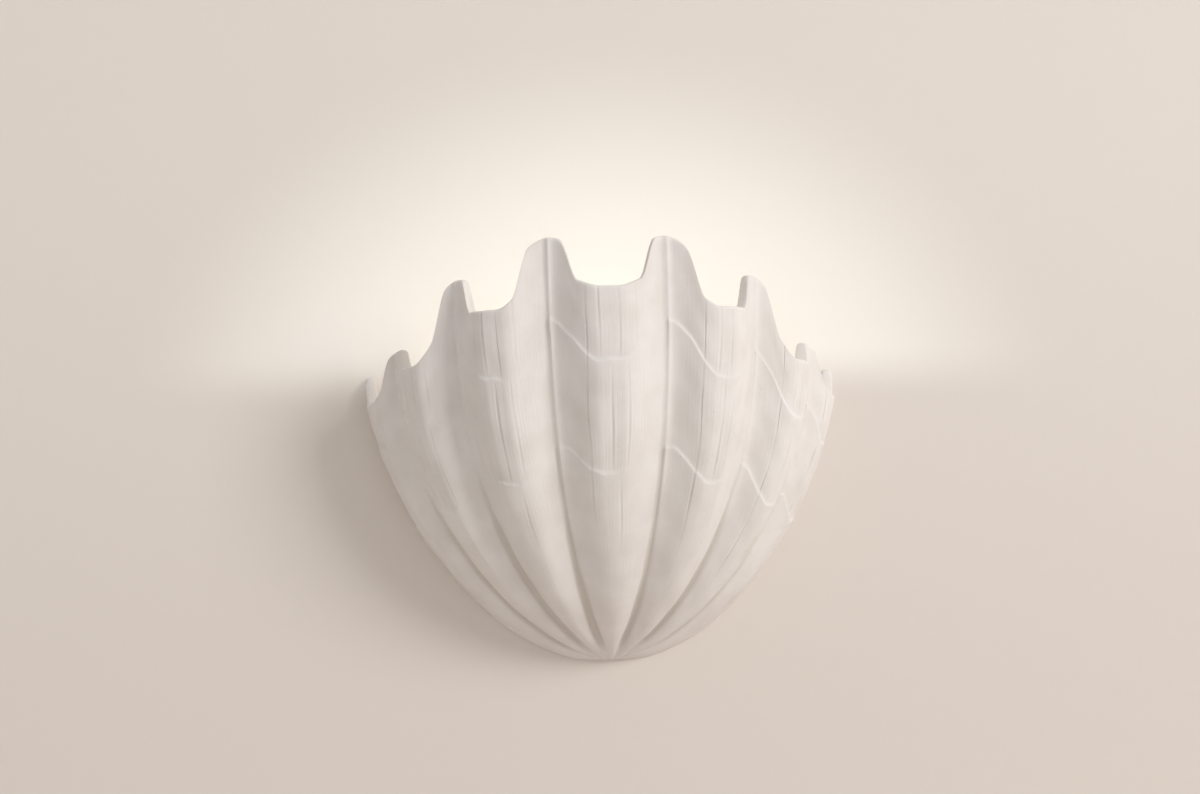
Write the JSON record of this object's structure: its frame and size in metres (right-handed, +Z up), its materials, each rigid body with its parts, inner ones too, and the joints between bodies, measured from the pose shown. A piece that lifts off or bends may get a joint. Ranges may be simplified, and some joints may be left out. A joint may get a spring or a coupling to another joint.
{
  "type": "wall sconce",
  "caption": "Up-lighting wall sconce: a fluted plaster shell half bowl that hangs by a bar on a hooked wall plate with a lampholder and globe lamp.",
  "frame": {"origin": "middle of the mounting strap's two slots, on the wall plane", "axes": "+Z up, +X to the viewer's right along the wall, -Y out from the wall into the room"},
  "size_m": [0.32, 0.1331, 0.2831],
  "materials": {
    "plaster": "matt unglazed white plaster",
    "zinc_steel": "zinc plated",
    "white_paint": "white powder coat",
    "bright_brass": "plain brass",
    "nickel": "nickel plated",
    "holder_white": "moulded",
    "bulb_white": "satin moulded",
    "bulb_frost": "frosted, lit",
    "black_glass": "vitrite",
    "board": "white faced board",
    "terminal_plastic": "moulded",
    "grommet_rubber": "black",
    "live_brown": "insulation",
    "neutral_blue": "insulation",
    "earth_green": "insulation"
  },
  "bodies": {
    "fixture": {"wall_plate": "white_paint", "mounting_strap": "zinc_steel", "plate_studs": "zinc_steel", "cap_nuts": "nickel", "holder_bracket": "white_paint", "bracket_screws": "zinc_steel", "holder_nipple": "zinc_steel", "nipple_nut": "zinc_steel", "lampholder_base": "holder_white", "lampholder_skirt": "holder_white", "screw_shell": "bright_brass", "centre_contact": "bright_brass", "terminal_block": "terminal_plastic", "terminal_screws": "zinc_steel", "wire_grommet": "grommet_rubber", "earth_screw": "bright_brass", "ring_terminal": "nickel", "live_lead": "live_brown", "neutral_lead": "neutral_blue", "earth_lead": "earth_green"},
    "shade": {"shell": "plaster", "hanger_bar": "zinc_steel", "bar_screws": "zinc_steel", "lug_inserts": "bright_brass"},
    "lamp": {"bulb_contact": "nickel", "bulb_insulator": "black_glass", "bulb_cap": "nickel", "bulb_collar": "bulb_white", "led_board": "board", "bulb_globe": "bulb_frost"}
  },
  "joints": [
    {"name": "shell_lift", "type": "slide", "parent": "fixture", "child": "shade", "axis": [0, 0, 1], "range_m": [0, 0.02]},
    {"name": "bulb_turn", "type": "hinge", "parent": "fixture", "child": "lamp", "pos_m": [0, -0.046, 0.0015], "axis": [0, 0, 1], "range_deg": [0, 990]}
  ]
}
